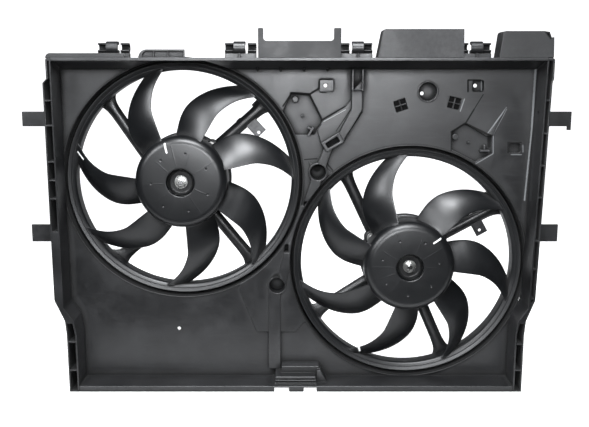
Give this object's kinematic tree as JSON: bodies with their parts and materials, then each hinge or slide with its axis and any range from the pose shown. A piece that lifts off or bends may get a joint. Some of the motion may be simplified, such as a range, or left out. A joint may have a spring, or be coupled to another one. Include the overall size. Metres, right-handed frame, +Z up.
{
  "type": "radiator cooling fan",
  "caption": "Wide flat plastic shroud that seats on a vehicle radiator, with round fan ducts side by side, curved-blade ringed fans and electric motors on arms behind.",
  "frame": {"origin": "middle of the underside of the lower locating foot", "axes": "+X to the right seen from the radiator side, +Y away from the radiator along the fan axes, +Z up"},
  "size_m": [0.86, 0.1202, 0.5785],
  "materials": {
    "shroud_plastic": "satin, fine moulded grain",
    "fan_plastic": "smooth satin",
    "motor_steel": "zinc plated",
    "cover_metal": "dark coated",
    "fastener_steel": "bright plated",
    "shaft_steel": "ground",
    "bearing_steel": "polished",
    "magnet": "matt ferrite",
    "core_steel": "stacked sheet",
    "copper": "enamelled",
    "card": "pressed board",
    "carbon": "matt",
    "wire": "smooth jacket",
    "plug_plastic": "satin"
  },
  "bodies": {
    "shroud": {"shroud_panel": "shroud_plastic", "shroud_top_rail": "shroud_plastic", "shroud_bottom_rail": "shroud_plastic", "shroud_left_rail": "shroud_plastic", "shroud_right_rail": "shroud_plastic", "top_bracket_ears": "shroud_plastic", "top_bracket_middle": "shroud_plastic", "top_bracket_right": "shroud_plastic", "pipe_clips": "shroud_plastic", "left_fan_collar": "shroud_plastic", "left_motor_spider": "shroud_plastic", "left_motor_can": "motor_steel", "left_motor_cover": "cover_metal", "left_motor_magnets": "magnet", "left_brush_card": "card", "left_brushes": "carbon", "left_front_bearing": "bearing_steel", "left_rear_bearing": "bearing_steel", "left_motor_screws": "fastener_steel", "left_motor_lead": "wire", "left_lead_clips": "shroud_plastic", "left_motor_plug": "plug_plastic", "right_fan_collar": "shroud_plastic", "right_motor_spider": "shroud_plastic", "right_motor_can": "motor_steel", "right_motor_cover": "cover_metal", "right_motor_magnets": "magnet", "right_brush_card": "card", "right_brushes": "carbon", "right_front_bearing": "bearing_steel", "right_rear_bearing": "bearing_steel", "right_motor_screws": "fastener_steel", "right_motor_lead": "wire", "right_lead_clips": "shroud_plastic", "right_motor_plug": "plug_plastic"},
    "left_fan": {"left_fan_hub": "fan_plastic", "left_fan_blades": "fan_plastic", "left_fan_ring": "fan_plastic", "left_fan_nut": "fastener_steel", "left_fan_washer": "fastener_steel", "left_motor_shaft": "shaft_steel", "left_motor_armature": "core_steel", "left_motor_winding": "copper", "left_motor_commutator": "copper"},
    "right_fan": {"right_fan_hub": "fan_plastic", "right_fan_blades": "fan_plastic", "right_fan_ring": "fan_plastic", "right_fan_nut": "fastener_steel", "right_fan_washer": "fastener_steel", "right_motor_shaft": "shaft_steel", "right_motor_armature": "core_steel", "right_motor_winding": "copper", "right_motor_commutator": "copper"}
  },
  "joints": [
    {"name": "left_fan_spin", "type": "hinge", "parent": "shroud", "child": "left_fan", "pos_m": [-0.18325, 0, 0.3412], "axis": [0, 1, 0], "continuous": true},
    {"name": "right_fan_spin", "type": "hinge", "parent": "shroud", "child": "right_fan", "pos_m": [0.18325, 0, 0.2034], "axis": [0, 1, 0], "continuous": true}
  ]
}
